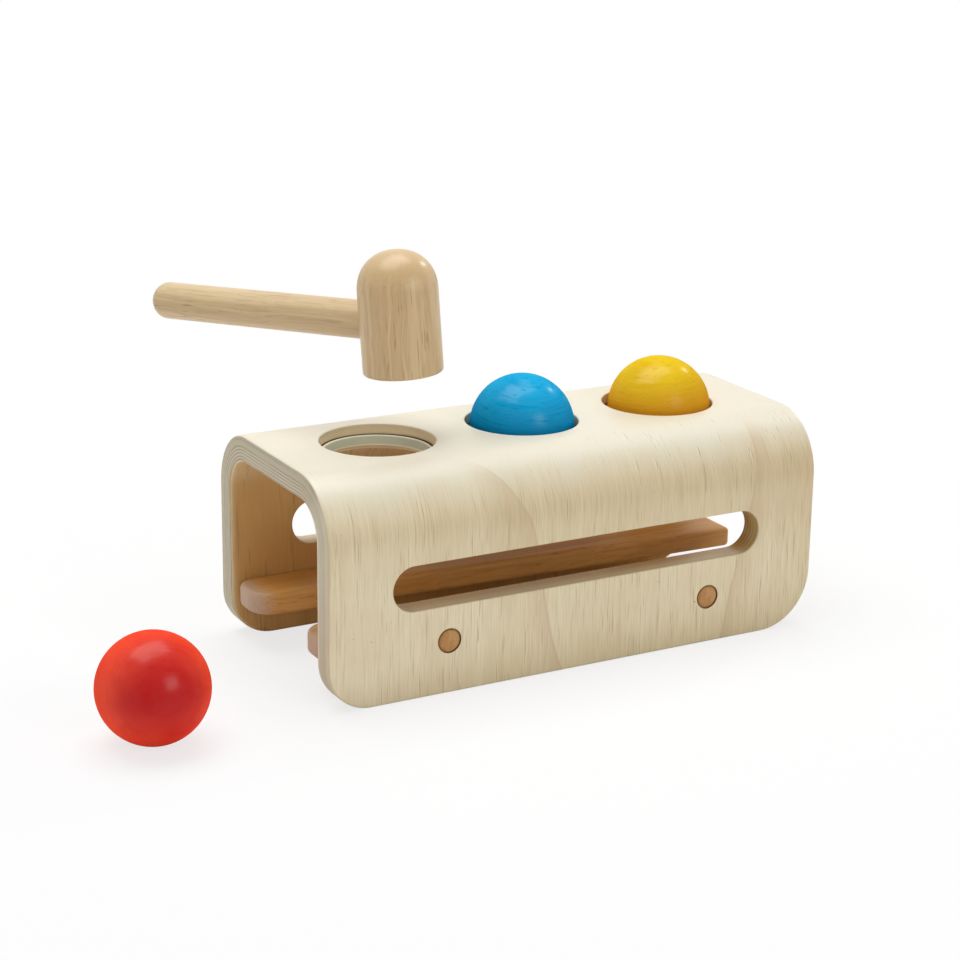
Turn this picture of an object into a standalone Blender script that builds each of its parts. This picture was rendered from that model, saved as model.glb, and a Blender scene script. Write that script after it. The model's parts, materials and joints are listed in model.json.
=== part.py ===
"""Ball pounding toy: a bent plywood bench with two rails inside, three balls and a hammer.

The bench stands on the floor, with its length along X and its front panel towards -Y.
"""

import math

import bmesh
import bpy
from mathutils import Vector

# Bench, with every size in metres
PLY_THICKNESS = 0.0129
BEND_RADIUS = 0.0303
FOOT_RADIUS_LEFT = 0.022
FOOT_RADIUS_RIGHT = 0.0286
EDGE_EASE = 0.0014
SIDE_ROOM = 0.0231
ROLL_ROOM = 0.0133

# Slots in the side panels
SLOT_END_MARGIN = 0.033
SLOT_HEIGHT = 0.0223
SLOT_OVER_RAIL = 0.0128

# Balls, and the elastic rings that hold them in the top holes
BALL_DIAMETER = 0.052
BALL_SEAT_RISE = 0.0025
HOLE_CLEARANCE = 0.0021
HOLE_WEB = 0.0153
HOLE_END_WEB = 0.0234
RING_HEIGHT = 0.004
RING_LIP = 0.0034
RING_LET_IN = 0.004
RED_BALL_OUT = 0.0817
RED_BALL_ASIDE = 0.0527

# Rails that catch the balls, and the pegs that hold the rails
RAIL_THICKNESS = 0.0113
RAIL_TOP = 0.0308
RAIL_INSET_LEFT = 0.0035
RAIL_INSET_RIGHT = 0.0015
RAIL_CATCH_LEFT = 0.004
RAIL_CATCH_FRONT_RIGHT = 0.0065
RAIL_CATCH_BACK_RIGHT = 0.0195
RAIL_NOSE_RADIUS = 0.010
RAIL_CORNER_RADIUS = 0.004
RAIL_EASE = 0.0026
PEG_HEAD_DIAMETER = 0.0112
PEG_HEAD_DEPTH = 0.006
PEG_DOME = 0.0008
PEG_SHANK_DIAMETER = 0.006
PEG_IN_RAIL = 0.016
PEG_CHAMFER = 0.0008
PEG_END_MARGIN = 0.0624
PEG_STAGGER = 0.0011

# Hammer sizes, and how it is held over the left hole
HEAD_DIAMETER = 0.0388
HEAD_HEIGHT = 0.0593
HEAD_EASE = 0.0016
DOME_SQUARENESS = 2.15
HANDLE_DIAMETER = 0.0187
HANDLE_REACH = 0.160
HANDLE_LEVEL = 0.024
HANDLE_END_FLAT = 0.0037
HANDLE_CHAMFER = 0.001
SOCKET_WALL = 0.0108
HAMMER_HOVER = 0.0314
HAMMER_ALONG = 0.0127
HAMMER_BACK = 0.0015
HAMMER_LEAN_DEG = 1.2
HAMMER_RISE_DEG = 4.4
HAMMER_TURN_DEG = -66.3

# Gap between neighbouring pieces, how far cutters run past, and how finely rounds are divided
FIT_GAP = 0.0003
CUT_PAST = 0.004
WELD = 1e-6
ARC_STEPS = 8
ROUND_STEPS = 40
PEG_STEPS = 20
BALL_STEPS = 32

# Worked out from the sizes above: the bench is sized round the balls that it takes
BALL_RADIUS = BALL_DIAMETER / 2
HOLE_RADIUS = BALL_RADIUS + HOLE_CLEARANCE
GROOVE_RADIUS = HOLE_RADIUS + RING_LET_IN
HOLE_SPACING = 2 * GROOVE_RADIUS + HOLE_WEB
BENCH_LENGTH = 2 * (HOLE_SPACING + GROOVE_RADIUS + HOLE_END_WEB)
INNER_FACE = BALL_RADIUS + SIDE_ROOM
BENCH_WIDTH = 2 * (INNER_FACE + PLY_THICKNESS)
BENCH_HEIGHT = RAIL_TOP + BALL_DIAMETER + ROLL_ROOM + PLY_THICKNESS
RING_BOTTOM = BENCH_HEIGHT - PLY_THICKNESS + RING_LIP
BALL_LEVEL = RING_BOTTOM + RING_HEIGHT + BALL_SEAT_RISE
RAIL_LEVEL = RAIL_TOP - RAIL_THICKNESS / 2
PEG_HEAD_RADIUS = PEG_HEAD_DIAMETER / 2
PEG_SHANK_RADIUS = PEG_SHANK_DIAMETER / 2
PEG_X = BENCH_LENGTH / 2 - PEG_END_MARGIN
HEAD_RADIUS = HEAD_DIAMETER / 2
HANDLE_RADIUS = HANDLE_DIAMETER / 2
GRIP_TO_HEAD = HANDLE_REACH - HANDLE_RADIUS

# Turns that stand a flat XZ or YZ outline up, and that lay a turned piece along X
STAND_ALONG_X = (math.pi / 2, 0, 0)
STAND_ALONG_Y = (math.pi / 2, 0, math.pi / 2)
LIE_ALONG_X = (0, math.pi / 2, 0)

PANELS = {"front": -1, "back": 1}
ENDS = {"left": -1, "right": 1}
FOOT_RADII = {-1: FOOT_RADIUS_LEFT, 1: FOOT_RADIUS_RIGHT}
PEG_LEVELS = {"left": RAIL_LEVEL + PEG_STAGGER, "right": RAIL_LEVEL - PEG_STAGGER}
RAIL_CATCHES_RIGHT = {"front": RAIL_CATCH_FRONT_RIGHT, "back": RAIL_CATCH_BACK_RIGHT}
HOLES = {"left": -HOLE_SPACING, "middle": 0.0, "right": HOLE_SPACING}


def new_collection(name):
    """An empty collection under the scene."""
    group = bpy.data.collections.new(name)
    bpy.context.scene.collection.children.link(group)
    return group


def linear(channel):
    """One 0 to 255 screen channel as the linear value that a shader takes."""
    value = channel / 255
    if value <= 0.04045:
        return value / 12.92
    return ((value + 0.055) / 1.055) ** 2.4


def new_material(name, screen_colour, roughness):
    """A Principled material with this screen colour and roughness."""
    material = bpy.data.materials.new(name)
    material.use_nodes = True
    shader = material.node_tree.nodes["Principled BSDF"]
    shader.inputs["Base Color"].default_value = (*map(linear, screen_colour), 1)
    shader.inputs["Roughness"].default_value = roughness
    shader.inputs["Metallic"].default_value = 0
    return material


def place(obj, location, rotation=(0, 0, 0), parent=None):
    """Set the object's place under its parent."""
    obj.location = location
    obj.rotation_euler = rotation
    obj.parent = parent
    return obj


def new_empty(name, location, rotation=(0, 0, 0), parent=None):
    """A frame that pieces hang on."""
    empty = bpy.data.objects.new(name, None)
    parts.objects.link(empty)
    return place(empty, location, rotation, parent)


def new_piece(name, mesh, material):
    """One piece of the toy."""
    mesh.materials.append(material)
    piece = bpy.data.objects.new(name, mesh)
    parts.objects.link(piece)
    return piece


def new_cutter(name, mesh):
    """A shape that only cuts others."""
    cutter = bpy.data.objects.new(name, mesh)
    cutter.hide_render = True
    cutter.display_type = "WIRE"
    cutters.objects.link(cutter)
    return cutter


def rounded(corners):
    """Outline through (x, y, radius) corners, with an arc in each corner that has a radius."""
    points = []
    for index, (x, y, radius) in enumerate(corners):
        corner = Vector((x, y))
        if radius == 0:
            points.append(corner)
            continue
        before = (Vector(corners[index - 1][:2]) - corner).normalized()
        after = (Vector(corners[(index + 1) % len(corners)][:2]) - corner).normalized()
        half = before.angle(after) / 2
        centre = corner + (before + after).normalized() * (radius / math.sin(half))
        first = corner + before * (radius / math.tan(half)) - centre
        last = corner + after * (radius / math.tan(half)) - centre
        sweep = math.atan2(first.x * last.y - first.y * last.x, first.dot(last))
        start = math.atan2(first.y, first.x)
        for step in range(ARC_STEPS + 1):
            angle = start + sweep * step / ARC_STEPS
            points.append(centre + radius * Vector((math.cos(angle), math.sin(angle))))
    return points


def extruded(name, outline, thickness):
    """Mesh of a flat XY outline with this thickness, centred on its plane."""
    curve = bpy.data.curves.new(name, "CURVE")
    curve.dimensions = "2D"
    curve.fill_mode = "BOTH"
    curve.extrude = thickness / 2
    spline = curve.splines.new("POLY")
    spline.points.add(len(outline) - 1)
    for point, (x, y) in zip(spline.points, outline):
        point.co = (x, y, 0, 1)
    spline.use_cyclic_u = True
    drawn = bpy.data.objects.new(name, curve)
    bpy.context.scene.collection.objects.link(drawn)
    graph = bpy.context.evaluated_depsgraph_get()
    mesh = bpy.data.meshes.new_from_object(drawn.evaluated_get(graph))
    bpy.data.objects.remove(drawn)
    shape = bmesh.new()
    shape.from_mesh(mesh)
    bmesh.ops.remove_doubles(shape, verts=shape.verts, dist=WELD)
    bmesh.ops.dissolve_limit(shape, angle_limit=0.001, verts=shape.verts, edges=shape.edges)
    bmesh.ops.recalc_face_normals(shape, faces=shape.faces)
    shape.to_mesh(mesh)
    shape.free()
    return mesh


def cylinder(name, radius, length, steps=ROUND_STEPS):
    """Mesh of a capped cylinder along Z, centred on the origin."""
    mesh = bpy.data.meshes.new(name)
    shape = bmesh.new()
    bmesh.ops.create_cone(
        shape, cap_ends=True, segments=steps, radius1=radius, radius2=radius, depth=length
    )
    shape.to_mesh(mesh)
    shape.free()
    return mesh


def profile(name, points, closed=False):
    """Mesh of edges through (radius, height) points, which run down the outer side."""
    edges = [(index, index + 1) for index in range(len(points) - 1)]
    if closed:
        edges.append((len(points) - 1, 0))
    mesh = bpy.data.meshes.new(name)
    mesh.from_pydata([(radius, 0, height) for radius, height in points], edges, [])
    return mesh


def turn(obj, steps):
    """Spin the object's profile about its Z axis."""
    screw = obj.modifiers.new("turned", "SCREW")
    screw.steps = steps
    screw.render_steps = steps
    screw.use_merge_vertices = True
    screw.merge_threshold = WELD
    screw.use_smooth_shade = True


def cut(obj, cutter):
    """Take the cutter's shape away from the object."""
    boolean = obj.modifiers.new(cutter.name, "BOOLEAN")
    boolean.operation = "DIFFERENCE"
    boolean.solver = "EXACT"
    boolean.object = cutter


def ease(obj, width, segments):
    """Round the object's sharp edges over, and shade it smooth."""
    obj.data.shade_smooth()
    obj.data.set_sharp_from_angle(angle=math.radians(40))
    bevel = obj.modifiers.new("eased", "BEVEL")
    bevel.width = width
    bevel.segments = segments
    bevel.limit_method = "ANGLE"
    bevel.angle_limit = math.radians(40)


def round_feet(mesh):
    """Round the lower corners of a section that is drawn upright and extruded along its own Z."""
    shape = bmesh.new()
    shape.from_mesh(mesh)
    end_at = BENCH_LENGTH / 2 - WELD
    for side, radius in FOOT_RADII.items():
        corners = [
            edge
            for edge in shape.edges
            if all(vert.co.y < WELD and side * vert.co.z > end_at for vert in edge.verts)
        ]
        bmesh.ops.bevel(
            shape, geom=corners, offset=radius, segments=ARC_STEPS, profile=0.5, affect="EDGES"
        )
    shape.to_mesh(mesh)
    shape.free()


def build_shell(bench):
    """The bent sheet: a U section run along X, with its feet rounded, then slotted and bored."""
    half_width = BENCH_WIDTH / 2
    inside_top = BENCH_HEIGHT - PLY_THICKNESS
    inside_radius = BEND_RADIUS - PLY_THICKNESS
    section = rounded(
        [
            (half_width, 0, 0),
            (half_width, BENCH_HEIGHT, BEND_RADIUS),
            (-half_width, BENCH_HEIGHT, BEND_RADIUS),
            (-half_width, 0, 0),
            (-INNER_FACE, 0, 0),
            (-INNER_FACE, inside_top, inside_radius),
            (INNER_FACE, inside_top, inside_radius),
            (INNER_FACE, 0, 0),
        ]
    )
    mesh = extruded("bench_shell", section, BENCH_LENGTH)
    round_feet(mesh)
    shell = new_piece("bench_shell", mesh, plywood)
    place(shell, (0, 0, 0), STAND_ALONG_Y, bench)

    slot_end = BENCH_LENGTH / 2 - SLOT_END_MARGIN
    slot_radius = SLOT_HEIGHT / 2
    low = RAIL_TOP + SLOT_OVER_RAIL
    high = low + SLOT_HEIGHT
    outline = rounded(
        [
            (-slot_end, low, slot_radius),
            (slot_end, low, slot_radius),
            (slot_end, high, slot_radius),
            (-slot_end, high, slot_radius),
        ]
    )
    slot = new_cutter("slot_cutter", extruded("slot_cutter", outline, BENCH_WIDTH + 2 * CUT_PAST))
    cut(shell, place(slot, (0, 0, 0), STAND_ALONG_X, bench))
    for name, x in HOLES.items():
        bore = new_cutter(
            f"hole_cutter_{name}", cylinder("hole_cutter", HOLE_RADIUS, PLY_THICKNESS + 2 * CUT_PAST)
        )
        cut(shell, place(bore, (x, 0, BENCH_HEIGHT - PLY_THICKNESS / 2), parent=bench))
    ease(shell, EDGE_EASE, 2)

    for name, x in HOLES.items():
        groove = new_cutter(
            f"groove_cutter_{name}", cylinder("groove_cutter", GROOVE_RADIUS, RING_HEIGHT + 2 * FIT_GAP)
        )
        cut(shell, place(groove, (x, 0, RING_BOTTOM + RING_HEIGHT / 2), parent=bench))
    for end, along in ENDS.items():
        through = new_cutter(
            f"peg_hole_cutter_{end}",
            cylinder("peg_hole_cutter", PEG_SHANK_RADIUS + FIT_GAP, BENCH_WIDTH, PEG_STEPS),
        )
        cut(shell, place(through, (along * PEG_X, 0, PEG_LEVELS[end]), STAND_ALONG_X, bench))
        for panel, side in PANELS.items():
            depth = PEG_HEAD_DEPTH + FIT_GAP
            counterbore = new_cutter(
                f"peg_head_cutter_{panel}_{end}",
                cylinder("peg_head_cutter", PEG_HEAD_RADIUS + FIT_GAP, 2 * depth, PEG_STEPS),
            )
            outside = (along * PEG_X, side * half_width, PEG_LEVELS[end])
            cut(shell, place(counterbore, outside, STAND_ALONG_X, bench))


def build_rails(bench):
    """Two ledges along the panels. The gap between them widens to the left, which rolls the balls out."""
    left_end = RAIL_INSET_LEFT - BENCH_LENGTH / 2
    right_end = BENCH_LENGTH / 2 - RAIL_INSET_RIGHT
    panel_edge = INNER_FACE - FIT_GAP
    left_edge = BALL_RADIUS - RAIL_CATCH_LEFT
    socket_depth = PEG_IN_RAIL + FIT_GAP
    for panel, side in PANELS.items():
        right_edge = BALL_RADIUS - RAIL_CATCHES_RIGHT[panel]
        outline = rounded(
            [
                (left_end, side * panel_edge, RAIL_CORNER_RADIUS),
                (left_end, side * left_edge, RAIL_NOSE_RADIUS),
                (right_end, side * right_edge, 0),
                (right_end, side * panel_edge, 0),
            ]
        )
        rail = new_piece(f"rail_{panel}", extruded(f"rail_{panel}", outline, RAIL_THICKNESS), hardwood)
        place(rail, (0, 0, RAIL_LEVEL), parent=bench)
        ease(rail, RAIL_EASE, 3)
        for end, along in ENDS.items():
            socket = new_cutter(
                f"socket_cutter_{panel}_{end}",
                cylinder("socket_cutter", PEG_SHANK_RADIUS + FIT_GAP, 2 * socket_depth, PEG_STEPS),
            )
            mouth = (along * PEG_X, side * INNER_FACE, PEG_LEVELS[end])
            cut(rail, place(socket, mouth, STAND_ALONG_X, bench))


def build_pegs(bench):
    """Headed dowels through the panels into the rails, with a low dome on the head."""
    length = PLY_THICKNESS + PEG_IN_RAIL
    quarter = [math.pi / 2 * step / ARC_STEPS for step in range(ARC_STEPS + 1)]
    dome = [(PEG_HEAD_RADIUS * math.sin(angle), PEG_DOME * math.cos(angle)) for angle in quarter]
    points = dome + [
        (PEG_HEAD_RADIUS, -PEG_HEAD_DEPTH),
        (PEG_SHANK_RADIUS, -PEG_HEAD_DEPTH),
        (PEG_SHANK_RADIUS, PEG_CHAMFER - length),
        (PEG_SHANK_RADIUS - PEG_CHAMFER, -length),
        (0, -length),
    ]
    for panel, side in PANELS.items():
        for end, along in ENDS.items():
            name = f"peg_{panel}_{end}"
            peg = new_piece(name, profile(name, points), dowel_wood)
            turn(peg, PEG_STEPS)
            outward = (-side * math.pi / 2, 0, 0)
            place(peg, (along * PEG_X, side * BENCH_WIDTH / 2, PEG_LEVELS[end]), outward, bench)


def build_rings(bench):
    """Elastic rings in the grooves. Their inner face is coned to the ball that rests in it."""
    outer = GROOVE_RADIUS - FIT_GAP
    reach = (BALL_RADIUS + FIT_GAP) / math.cos(math.pi / ROUND_STEPS)
    top = -BALL_SEAT_RISE
    bottom = top - RING_HEIGHT
    points = [
        (outer, top),
        (outer, bottom),
        (math.sqrt(reach**2 - bottom**2), bottom),
        (math.sqrt(reach**2 - top**2), top),
    ]
    for name, x in HOLES.items():
        ring = new_piece(f"ring_{name}", profile(f"ring_{name}", points, closed=True), rubber)
        turn(ring, ROUND_STEPS)
        place(ring, (x, 0, BALL_LEVEL), parent=bench)


def build_balls(bench):
    """The blue and yellow balls sit in the top, and the red one has rolled out to the left."""
    rolled_out = (-BENCH_LENGTH / 2 - RED_BALL_OUT, -RED_BALL_ASIDE, BALL_RADIUS)
    places = {
        "red": (rolled_out, red_paint),
        "blue": ((HOLES["middle"], 0, BALL_LEVEL), blue_paint),
        "yellow": ((HOLES["right"], 0, BALL_LEVEL), yellow_paint),
    }
    for colour, (centre, paint) in places.items():
        mesh = bpy.data.meshes.new(f"ball_{colour}")
        shape = bmesh.new()
        bmesh.ops.create_uvsphere(
            shape, u_segments=BALL_STEPS, v_segments=BALL_STEPS // 2, radius=BALL_RADIUS
        )
        shape.to_mesh(mesh)
        shape.free()
        mesh.shade_smooth()
        place(new_piece(f"ball_{colour}", mesh, paint), centre, parent=bench)


def build_hammer(bench):
    """Mallet head and handle, on a frame in the handle's round end, whose Y axis the hammer swings about."""
    turns = map(math.radians, (HAMMER_LEAN_DEG, -HAMMER_RISE_DEG, HAMMER_TURN_DEG))
    over = Vector((HOLES["left"], 0, BENCH_HEIGHT))
    offset = Vector((HAMMER_ALONG, HAMMER_BACK, HAMMER_HOVER + HANDLE_LEVEL))
    head_centre = new_empty("hammer_over_hole", over + offset, tuple(turns), bench)
    grip = new_empty("hammer_grip", (-GRIP_TO_HEAD, 0, 0), parent=head_centre)

    dome_base = HEAD_HEIGHT - HEAD_RADIUS
    power = 2 / DOME_SQUARENESS
    quarter = [math.pi / 2 * step / ARC_STEPS for step in range(ARC_STEPS)]
    dome = [
        (HEAD_RADIUS * math.sin(angle) ** power, dome_base + HEAD_RADIUS * math.cos(angle) ** power)
        for angle in quarter
    ]
    body = [
        (HEAD_RADIUS, dome_base),
        (HEAD_RADIUS, HEAD_EASE),
        (HEAD_RADIUS - HEAD_EASE / 3, HEAD_EASE / 3),
        (HEAD_RADIUS - HEAD_EASE, 0),
        (0, 0),
    ]
    head = new_piece("hammer_head", profile("hammer_head", dome + body), mallet_wood)
    turn(head, ROUND_STEPS)
    place(head, (GRIP_TO_HEAD, 0, -HANDLE_LEVEL), parent=grip)

    inner_end = GRIP_TO_HEAD + HEAD_RADIUS - SOCKET_WALL
    socket_length = HEAD_DIAMETER - SOCKET_WALL + CUT_PAST
    socket = new_cutter(
        "handle_socket_cutter", cylinder("handle_socket_cutter", HANDLE_RADIUS + FIT_GAP, socket_length)
    )
    cut(head, place(socket, (inner_end - socket_length / 2, 0, 0), LIE_ALONG_X, grip))

    end_radius = (HANDLE_DIAMETER - HANDLE_END_FLAT) / 2
    glued_end = inner_end - FIT_GAP
    points = [
        (0, glued_end),
        (HANDLE_RADIUS - HANDLE_CHAMFER, glued_end),
        (HANDLE_RADIUS, glued_end - HANDLE_CHAMFER),
    ]
    for step in range(ARC_STEPS + 1):
        angle = math.pi / 2 * step / ARC_STEPS
        radius = HANDLE_RADIUS - end_radius * (1 - math.cos(angle))
        points.append((radius, end_radius * (1 - math.sin(angle)) - HANDLE_RADIUS))
    points.append((0, -HANDLE_RADIUS))
    handle = new_piece("hammer_handle", profile("hammer_handle", points), mallet_wood)
    turn(handle, ROUND_STEPS)
    place(handle, (0, 0, 0), LIE_ALONG_X, grip)


def stand_on_origin(bench):
    """Move the bench frame so that the origin is under the middle of the whole set, at its foot."""
    bpy.context.view_layer.update()
    graph = bpy.context.evaluated_depsgraph_get()
    corners = []
    for piece in parts.objects:
        if piece.type == "MESH":
            solid = piece.evaluated_get(graph)
            corners += [solid.matrix_world @ vertex.co for vertex in solid.data.vertices]
    low = Vector(map(min, zip(*corners)))
    high = Vector(map(max, zip(*corners)))
    bench.location = (-(low.x + high.x) / 2, -(low.y + high.y) / 2, -low.z)


for old in list(bpy.data.objects):
    bpy.data.objects.remove(old, do_unlink=True)
parts = new_collection("ball_pounding_toy")
cutters = new_collection("ball_pounding_toy_cutters")

plywood = new_material("clear_lacquered_plywood", (226, 213, 186), 0.45)
hardwood = new_material("oiled_hardwood", (176, 130, 86), 0.5)
dowel_wood = new_material("dowel_wood", (180, 130, 80), 0.5)
mallet_wood = new_material("mallet_wood", (205, 174, 130), 0.4)
rubber = new_material("pale_rubber", (205, 203, 185), 0.6)
red_paint = new_material("red_paint", (204, 45, 38), 0.35)
blue_paint = new_material("blue_paint", (20, 128, 190), 0.35)
yellow_paint = new_material("yellow_paint", (222, 172, 34), 0.35)

bench_frame = new_empty("bench_frame", (0, 0, 0))
build_shell(bench_frame)
build_rails(bench_frame)
build_pegs(bench_frame)
build_rings(bench_frame)
build_balls(bench_frame)
build_hammer(bench_frame)
stand_on_origin(bench_frame)
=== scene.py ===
"""Looks of the ball pounding toy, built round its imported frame.

The bench is one bent plywood sheet. It is worked out flat, in sheet coordinates, and then bent:
x runs along the bench, s round its section from the middle of the top, and d from the outer face inwards.
"""

import json
import math

import bmesh
import bpy
import numpy as np
from mathutils import Matrix, Vector


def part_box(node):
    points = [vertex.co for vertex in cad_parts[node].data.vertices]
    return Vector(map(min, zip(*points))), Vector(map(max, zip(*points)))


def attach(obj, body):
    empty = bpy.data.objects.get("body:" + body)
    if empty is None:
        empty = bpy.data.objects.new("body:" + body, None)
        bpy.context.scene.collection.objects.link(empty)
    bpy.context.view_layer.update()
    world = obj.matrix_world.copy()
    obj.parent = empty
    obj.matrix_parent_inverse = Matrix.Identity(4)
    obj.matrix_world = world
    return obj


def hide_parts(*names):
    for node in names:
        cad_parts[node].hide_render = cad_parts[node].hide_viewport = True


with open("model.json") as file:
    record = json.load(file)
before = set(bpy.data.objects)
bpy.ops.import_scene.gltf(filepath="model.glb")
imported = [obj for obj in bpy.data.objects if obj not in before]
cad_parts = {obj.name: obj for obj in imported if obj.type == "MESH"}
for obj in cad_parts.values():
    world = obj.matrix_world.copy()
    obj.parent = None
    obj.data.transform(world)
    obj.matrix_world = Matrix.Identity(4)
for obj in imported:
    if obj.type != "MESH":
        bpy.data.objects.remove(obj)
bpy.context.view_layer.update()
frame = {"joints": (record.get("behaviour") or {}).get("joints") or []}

# Sizes of the bench, in metres. Its length, width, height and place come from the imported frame.
bench_low, bench_high = (np.array(corner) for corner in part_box("bench_shell"))
LENGTH, WIDTH, HEIGHT = bench_high - bench_low
CENTRE = (bench_low + bench_high) / 2
PLY = 0.0129
BEND = 0.0303
FOOT_LEFT = 0.022
FOOT_RIGHTS = {-1: 0.0286, 1: 0.022}
EASE = 0.0014
OPENING_EASE = 0.0007
SLOT_END = LENGTH / 2 - 0.033
SLOT_LOW = 0.0436
SLOT_HIGH = 0.0659
HOLE_RADIUS = 0.0281
HOLE_SPACING = 0.0795
GROOVE_DEPTH = 0.004
RING_LOW = 0.0995
RING_HIGH = 0.1035
GAP = 0.0003
RING_LEVEL = RING_HIGH + 0.0025
RING_NECK = HOLE_RADIUS - 0.0006
RING_LIP_DROP = 0.0009
RING_LIP_RISE = 0.0001
RING_LIP_FOOT_RADIUS = 0.02545
RING_LIP_TOP_RADIUS = 0.02615
RING_SHOULDER_DROP = 0.0006
RING_SAG = 0.003
INNER_FACE = WIDTH / 2 - PLY

# Pegs: a domed head in a counterbore, and a thin shank behind it
PEG_X = LENGTH / 2 - 0.0624
PEG_LEVELS = {-1: 0.02625, 1: 0.02405}
PEG_HEAD_RADIUS = 0.00535
PEG_BORE_RADIUS = 0.00610
PEG_HEAD_DEPTH = 0.006
PEG_DOME = 0.0008
PEG_SHANK_RADIUS = 0.003
PEG_LENGTH = 0.0289
PEG_EASE = 0.0006
PEG_COLLAR_RADIUS = 0.0060
PEG_COLLAR_DEPTH = 0.0008

# Rails
RAIL_LOW = 0.0195
RAIL_HIGH = 0.0308
RAIL_LEFTS = {-1: 0.0035 - LENGTH / 2, 1: 0.0010 - LENGTH / 2}
RAIL_RIGHT = LENGTH / 2 - 0.0015
RAIL_GAP_LEFT = 0.022
RAIL_GAPS_RIGHT = {-1: 0.0195, 1: 0.0065}
RAIL_THINNING = {-1: 0.0, 1: 0.095}
RAIL_THINNING_POWER = 3
RAIL_NOSE = 0.012
RAIL_CORNER = 0.009
RAIL_EASE = 0.0024
RAIL_SPINE_LEFT = 0.014
RAIL_SPINE_RIGHT = 0.02

# Balls and hammer
BALL_RADIUS = 0.026
BALL_RIPPLE = 0.00002
BALL_RIPPLES = 14
BLUE_SHIFT = 0.0003
YELLOW_SHIFT = 0.0011
HEAD_RADIUS = 0.0194
HEAD_HEIGHT = 0.0593
HEAD_EASE = 0.0016
DOME_SQUARENESS = 2.15
HANDLE_RADIUS = 0.00935
HANDLE_LEVEL = 0.024
HANDLE_END_FLAT = 0.00185
GRIP_TO_HEAD = 0.15065
SOCKET_WALL = 0.0108
SOCKET_REACH = math.radians(60)
SOCKET_EASE = 0.0005
HANDLE_TAIL_EASE = 0.001
# The handle's way at rest, from the grip to the head
HANDLE_WAY = (0.40076, -0.91296, 0.07672)

# How finely the surfaces are divided, how close two points are to be one, and which edges stay sharp.
# The offset keeps round values away from the borders between two weld cells.
STEP = 0.0015
HEAD_STEP = 0.002
HANDLE_STEP = 0.006
TURN_STEPS = 96
FILLET_STEPS = 5
BEND_STEPS = 18
FOOT_STEPS = 14
RAIL_CORNER_STEPS = 16
RAIL_RUN_STEPS = 24
PEG_STEPS = 48
DOME_STEPS = 24
BALL_STEPS = 144
HANDLE_STEPS = 64
HANDLE_END_STEPS = 10
HEAD_EASE_STEPS = 6
WELD = 1e-6
WELD_OFFSET = 0.37
SHARP = math.radians(38)

# Sheet coordinates round the section: the flat top's end, the panel's start, its foot, and the seam
# between the cells of its slot and of its pegs
FLAT = WIDTH / 2 - BEND
PANEL = FLAT + BEND * math.pi / 2
FOOT = PANEL + HEIGHT - BEND
SEAM = 0.120


class Patchwork:
    """Grids of points that are sewn into one mesh where their rims meet.

    Every point also has a mark: the place in the material that it is cut from.
    """

    def __init__(self):
        self.points = []
        self.marks = []
        self.quads = []
        self.count = 0

    def add(self, points, marks, closed=False):
        """Take a grid of points. In a closed one, the last column meets the first."""
        rows, columns = points.shape[:2]
        number = self.count + np.arange(rows * columns).reshape(rows, columns)
        if closed:
            number = np.concatenate([number, number[:, :1]], axis=1)
        corners = (number[:-1, :-1], number[:-1, 1:], number[1:, 1:], number[1:, :-1])
        self.quads.append(np.stack(corners, axis=-1).reshape(-1, 4))
        self.points.append(points.reshape(-1, 3))
        self.marks.append(marks.reshape(-1, 3))
        self.count += rows * columns

    def piece(self, name, material):
        """Weld the points, drop the sides that shrink to nothing, and turn the faces outwards."""
        points = np.concatenate(self.points)
        keys = np.floor(points / WELD + WELD_OFFSET).astype(np.int64)
        _, first, merged = np.unique(keys, axis=0, return_index=True, return_inverse=True)
        quads = merged.reshape(-1)[np.concatenate(self.quads)]
        shrunk = quads == np.roll(quads, -1, axis=1)
        faces = quads[~shrunk.any(axis=1)].tolist()
        for corner in range(4):
            one_side = shrunk[:, corner] & (shrunk.sum(axis=1) == 1)
            faces += np.delete(quads[one_side], corner, axis=1).tolist()
        mesh = bpy.data.meshes.new(name)
        mesh.from_pydata(points[first].tolist(), [], faces)
        mark = mesh.attributes.new("cut_from", "FLOAT_VECTOR", "POINT")
        mark.data.foreach_set("vector", np.concatenate(self.marks)[first].astype(np.float32).ravel())
        shape = bmesh.new()
        shape.from_mesh(mesh)
        bmesh.ops.recalc_face_normals(shape, faces=shape.faces)
        shape.to_mesh(mesh)
        shape.free()
        mesh.shade_smooth()
        mesh.set_sharp_from_angle(angle=SHARP)
        mesh.materials.append(material)
        piece = bpy.data.objects.new(name, mesh)
        bpy.context.scene.collection.objects.link(piece)
        return piece


def finished(piece, body, node):
    """The piece stands for this node, whose imported part is hidden, and moves with this body."""
    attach(piece, body)
    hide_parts(node)


def spaced(start, end, step=STEP):
    """Evenly spaced values from start to end, about a step apart."""
    return np.linspace(start, end, max(2, round(abs(end - start) / step) + 1))


def pairs(first, second):
    """Two rows of values, either of which may be one value, as a row of points."""
    return np.stack(np.broadcast_arrays(first, second), axis=-1).astype(float)


def loop(*runs):
    """One closed row of points from runs that each start where the last one ends."""
    return np.concatenate([run[:-1] for run in runs])


def quarter(steps=FILLET_STEPS):
    """Sine and cosine over a quarter turn, as rows (1 - sine, 1 - cosine)."""
    angle = np.linspace(0, math.pi / 2, steps + 1)
    return np.stack([1 - np.sin(angle), 1 - np.cos(angle)], axis=-1)


def eased_wall(ease, depth):
    """Rows (in from the edge, down from the face): a straight wall between two quarter rounds."""
    top = quarter() * ease
    bottom = top[::-1].copy()
    bottom[:, 1] = depth - bottom[:, 1]
    return np.concatenate([top, bottom])


def ruled(start, end, shares):
    """Grid of points on the straight lines from one row to another, at these shares of the way."""
    shares = np.asarray(shares)[:, None, None]
    return start + (end - start) * shares


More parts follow.
